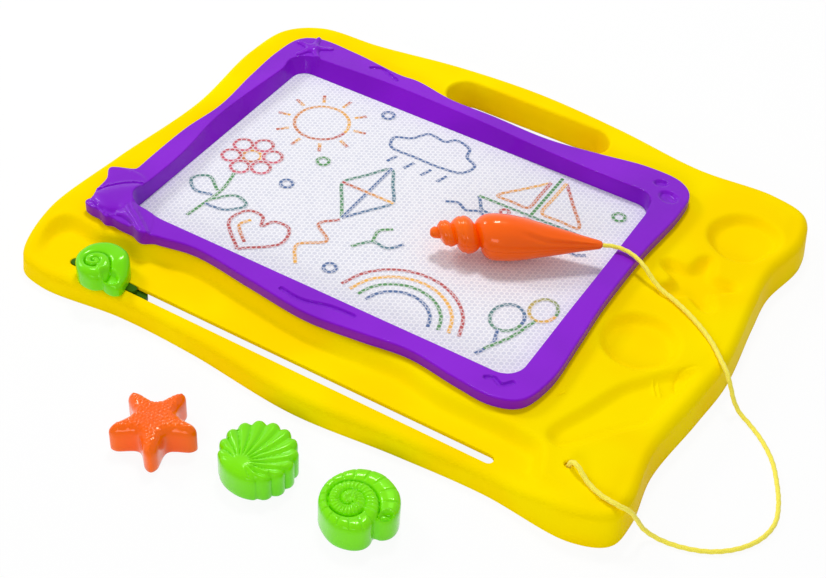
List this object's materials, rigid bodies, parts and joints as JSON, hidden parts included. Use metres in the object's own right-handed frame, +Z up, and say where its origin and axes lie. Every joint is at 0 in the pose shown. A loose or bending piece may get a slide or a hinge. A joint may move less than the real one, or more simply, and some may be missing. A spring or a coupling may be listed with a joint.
{
  "type": "magnetic drawing board",
  "caption": "Child's magnetic drawing board: moulded tray, framed honeycomb screen, sliding eraser bar, shell-shaped pen on a cord and loose magnetic stamps stored in recesses.",
  "frame": {"origin": "centre of the footprint of the board and its loose stamps, without the cord, on the table", "axes": "+X along the eraser's slot towards the stored stamps, +Y from the front edge towards the carrying handle, +Z up from the table"},
  "size_m": [0.4412, 0.3782, 0.044],
  "materials": {
    "tray_plastic": "glossy yellow",
    "bezel_plastic": "glossy purple",
    "green_plastic": "glossy green",
    "orange_plastic": "glossy orange",
    "screen_film": "satin white film",
    "screen_core": "pale honeycomb",
    "screw_steel": "zinc plated",
    "magnet_strip": "matt dark magnet",
    "cord": "plain pale yellow cord"
  },
  "bodies": {
    "board": {"tray": "tray_plastic", "screen_back_film": "screen_film", "screen_honeycomb": "screen_core", "screen_front_film": "screen_film", "bezel": "bezel_plastic", "bezel_screw_1": "screw_steel", "bezel_screw_2": "screw_steel", "bezel_screw_3": "screw_steel", "bezel_screw_4": "screw_steel", "bezel_screw_5": "screw_steel", "bezel_screw_6": "screw_steel", "bezel_screw_7": "screw_steel", "bezel_screw_8": "screw_steel", "rear_guide": "tray_plastic", "guide_screw_1": "screw_steel", "guide_screw_2": "screw_steel", "guide_screw_3": "screw_steel", "pen_cord": "cord", "board_cord_knot": "cord"},
    "eraser": {"eraser_arm": "green_plastic", "eraser_magnet": "magnet_strip", "eraser_knob": "green_plastic", "eraser_screw_1": "screw_steel", "eraser_screw_2": "screw_steel"},
    "pen": {"pen_upper_shell": "orange_plastic", "pen_lower_shell": "orange_plastic", "pen_magnet": "magnet_strip", "pen_cord_knot": "cord"},
    "star": {"star_stamp": "orange_plastic", "star_magnet": "magnet_strip"},
    "scallop": {"scallop_stamp": "green_plastic", "scallop_magnet": "magnet_strip"},
    "nautilus": {"nautilus_stamp": "green_plastic", "nautilus_magnet": "magnet_strip"}
  },
  "joints": [
    {"name": "eraser_slide", "type": "slide", "parent": "board", "child": "eraser", "axis": [1, 0, 0], "range_m": [0, 0.2237]},
    {"name": "pen_lift", "type": "slide", "parent": "board", "child": "pen", "axis": [0, 0, 1], "range_m": [0, 0.05]},
    {"name": "star_lift", "type": "slide", "parent": "board", "child": "star", "axis": [0, 0, 1], "range_m": [0, 0.05]},
    {"name": "scallop_lift", "type": "slide", "parent": "board", "child": "scallop", "axis": [0, 0, 1], "range_m": [0, 0.05]},
    {"name": "nautilus_lift", "type": "slide", "parent": "board", "child": "nautilus", "axis": [0, 0, 1], "range_m": [0, 0.05]}
  ]
}
